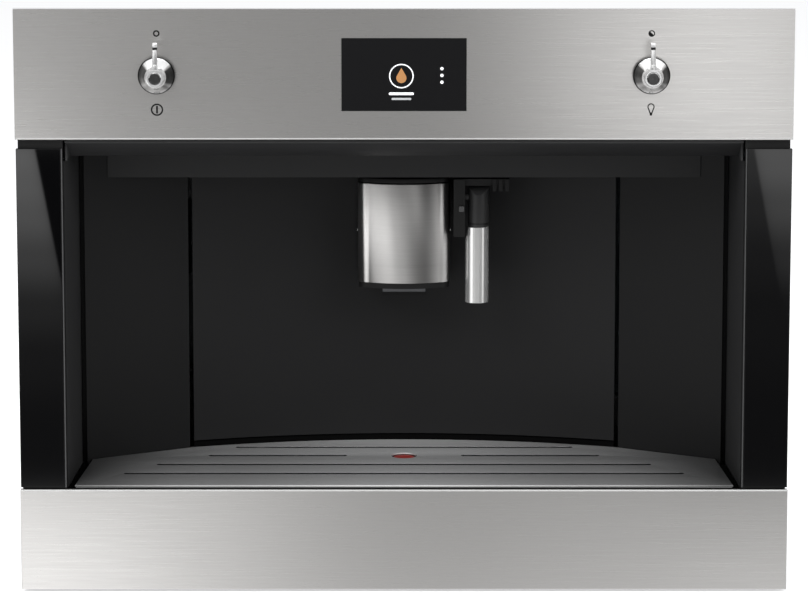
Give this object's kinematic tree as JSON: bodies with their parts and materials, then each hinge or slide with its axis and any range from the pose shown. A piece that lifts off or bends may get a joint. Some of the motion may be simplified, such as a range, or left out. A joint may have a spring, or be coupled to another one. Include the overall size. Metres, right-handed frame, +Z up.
{
  "type": "built-in coffee machine",
  "caption": "Built-in coffee machine with a lit niche, slotted cup grid, sliding spout, steam wand, swing-out service door, lever knobs and runners.",
  "frame": {"origin": "centre of the base pan's flat underside, on which the machine stands", "axes": "+X to the machine's right as seen from the front, +Y towards its back, +Z up"},
  "size_m": [0.597, 0.4046, 0.457],
  "materials": {
    "brushed_steel": "brushed stainless steel, fingerprint coating",
    "chrome": "polished chrome",
    "zinc_sheet": "galvanised sheet steel",
    "runner_steel": "zinc-plated runner steel",
    "black_glass": "black-backed toughened glass",
    "black_plastic": "satin black moulding",
    "niche_liner": "satin black lacquered panel",
    "dark_steel": "dark brushed stainless steel",
    "grey_plastic": "grey moulding",
    "clear_plastic": "clear smoked moulding",
    "lamp_lens": "frosted lens",
    "cast_aluminium": "cast aluminium",
    "board_green": "circuit board",
    "signal_red": "red moulding"
  },
  "bodies": {
    "cabinet_runners": {"runner_outer_left": "runner_steel", "runner_outer_right": "runner_steel"},
    "runner_middles": {"runner_middle_left": "runner_steel", "runner_middle_right": "runner_steel"},
    "machine": {"runner_inner_left": "runner_steel", "runner_inner_right": "runner_steel", "base_pan": "zinc_sheet", "side_panel_left": "zinc_sheet", "side_panel_right": "zinc_sheet", "rear_panel": "zinc_sheet", "top_cover": "zinc_sheet", "front_frame": "black_plastic", "control_panel": "brushed_steel", "lower_panel": "brushed_steel", "side_glass_left": "black_glass", "side_glass_right": "black_glass", "display_glass": "black_glass", "display_board": "board_green", "niche_side_left": "niche_liner", "niche_side_right": "niche_liner", "niche_soffit": "niche_liner", "niche_canopy": "niche_liner", "lamp_lens_left": "lamp_lens", "lamp_lens_right": "lamp_lens", "drip_well": "black_plastic", "brew_housing": "grey_plastic", "brewing_unit": "black_plastic", "grounds_container": "grey_plastic", "grinder": "grey_plastic", "bean_hopper": "black_plastic", "thermoblock": "cast_aluminium", "pump": "cast_aluminium", "tank_seat": "grey_plastic", "mains_inlet": "black_plastic"},
    "knob_press_left": {"push_collar_left": "grey_plastic"},
    "knob_press_right": {"push_collar_right": "grey_plastic"},
    "lever_knob_left": {"knob_left": "chrome", "knob_insert_left": "dark_steel", "knob_shaft_left": "zinc_sheet"},
    "lever_knob_right": {"knob_right": "chrome", "knob_insert_right": "dark_steel", "knob_shaft_right": "zinc_sheet"},
    "service_door": {"door_skin": "niche_liner", "door_inner_frame": "black_plastic", "spout_rail": "black_plastic", "wand_bracket": "black_plastic"},
    "spout": {"spout_cover": "brushed_steel", "spout_carriage": "black_plastic"},
    "steam_wand": {"wand_grip": "black_plastic", "wand_sleeve": "chrome", "wand_nozzle": "chrome"},
    "drip_tray": {"drip_tray": "grey_plastic"},
    "cup_grid": {"cup_grid": "dark_steel"},
    "tray_float": {"tray_float": "signal_red"},
    "bean_lid": {"bean_lid": "black_plastic"},
    "funnel_lid": {"funnel_lid": "black_plastic"},
    "grind_dial": {"grind_dial": "grey_plastic"},
    "water_tank": {"water_tank": "clear_plastic"},
    "tank_lid": {"tank_lid": "grey_plastic"},
    "main_switch": {"main_switch": "black_plastic"}
  },
  "joints": [
    {"name": "machine_pull_out", "type": "slide", "parent": "cabinet_runners", "child": "machine", "axis": [0, -1, 0], "range_m": [0, 0.3]},
    {"name": "runner_middle_slide", "type": "slide", "parent": "cabinet_runners", "child": "runner_middles", "axis": [0, -1, 0], "range_m": [0, 0.15]},
    {"name": "service_door_hinge", "type": "hinge", "parent": "machine", "child": "service_door", "pos_m": [-0.165, -0.04, 0.202], "axis": [0, 0, -1], "range_deg": [0, 100]},
    {"name": "spout_height", "type": "slide", "parent": "service_door", "child": "spout", "axis": [0, 0, -1], "range_m": [0, 0.05]},
    {"name": "wand_tilt", "type": "hinge", "parent": "service_door", "child": "steam_wand", "pos_m": [0.0595, -0.075, 0.2952], "axis": [-1, 0, 0], "range_deg": [0, 35]},
    {"name": "drip_tray_lift", "type": "slide", "parent": "machine", "child": "drip_tray", "axis": [0, 0, -1], "range_m": [-0.06, 0]},
    {"name": "cup_grid_lift", "type": "slide", "parent": "drip_tray", "child": "cup_grid", "axis": [0, 0, -1], "range_m": [-0.05, 0]},
    {"name": "float_rise", "type": "slide", "parent": "drip_tray", "child": "tray_float", "axis": [0, 0, -1], "range_m": [-0.008, 0]},
    {"name": "bean_lid_hinge", "type": "hinge", "parent": "machine", "child": "bean_lid", "pos_m": [-0.186, 0.155, 0.419], "axis": [-1, 0, 0], "range_deg": [0, 95]},
    {"name": "funnel_lid_hinge", "type": "hinge", "parent": "machine", "child": "funnel_lid", "pos_m": [-0.072, 0.085, 0.419], "axis": [-1, 0, 0], "range_deg": [0, 95]},
    {"name": "grind_dial_turn", "type": "hinge", "parent": "machine", "child": "grind_dial", "pos_m": [-0.213, -0.03, 0.418], "axis": [0, 0, 1], "range_deg": [-135, 135]},
    {"name": "water_tank_lift", "type": "slide", "parent": "machine", "child": "water_tank", "axis": [0, 0, 1], "range_m": [0, 0.32]},
    {"name": "tank_lid_hinge", "type": "hinge", "parent": "water_tank", "child": "tank_lid", "pos_m": [0.215, 0.166, 0.4139], "axis": [-1, 0, 0], "range_deg": [0, 95]},
    {"name": "main_switch_rock", "type": "hinge", "parent": "machine", "child": "main_switch", "pos_m": [-0.19, 0.184, 0.08], "axis": [1, 0, 0], "range_deg": [-8, 8]},
    {"name": "knob_press_left", "type": "slide", "parent": "machine", "child": "knob_press_left", "axis": [0, 1, 0], "range_m": [0, 0.002], "stiffness_N_per_m": 600},
    {"name": "knob_turn_left", "type": "hinge", "parent": "knob_press_left", "child": "lever_knob_left", "pos_m": [-0.1891, -0.19, 0.4064], "axis": [0, 1, 0], "range_deg": [-25, 25], "stiffness_Nm_per_rad": 0.08},
    {"name": "knob_press_right", "type": "slide", "parent": "machine", "child": "knob_press_right", "axis": [0, 1, 0], "range_m": [0, 0.002], "stiffness_N_per_m": 600},
    {"name": "knob_turn_right", "type": "hinge", "parent": "knob_press_right", "child": "lever_knob_right", "pos_m": [0.1891, -0.19, 0.4064], "axis": [0, 1, 0], "range_deg": [-25, 25], "stiffness_Nm_per_rad": 0.08}
  ],
  "couplings": [
    {"joint": "runner_middle_slide", "follows": "machine_pull_out", "ratio": 0.5}
  ]
}
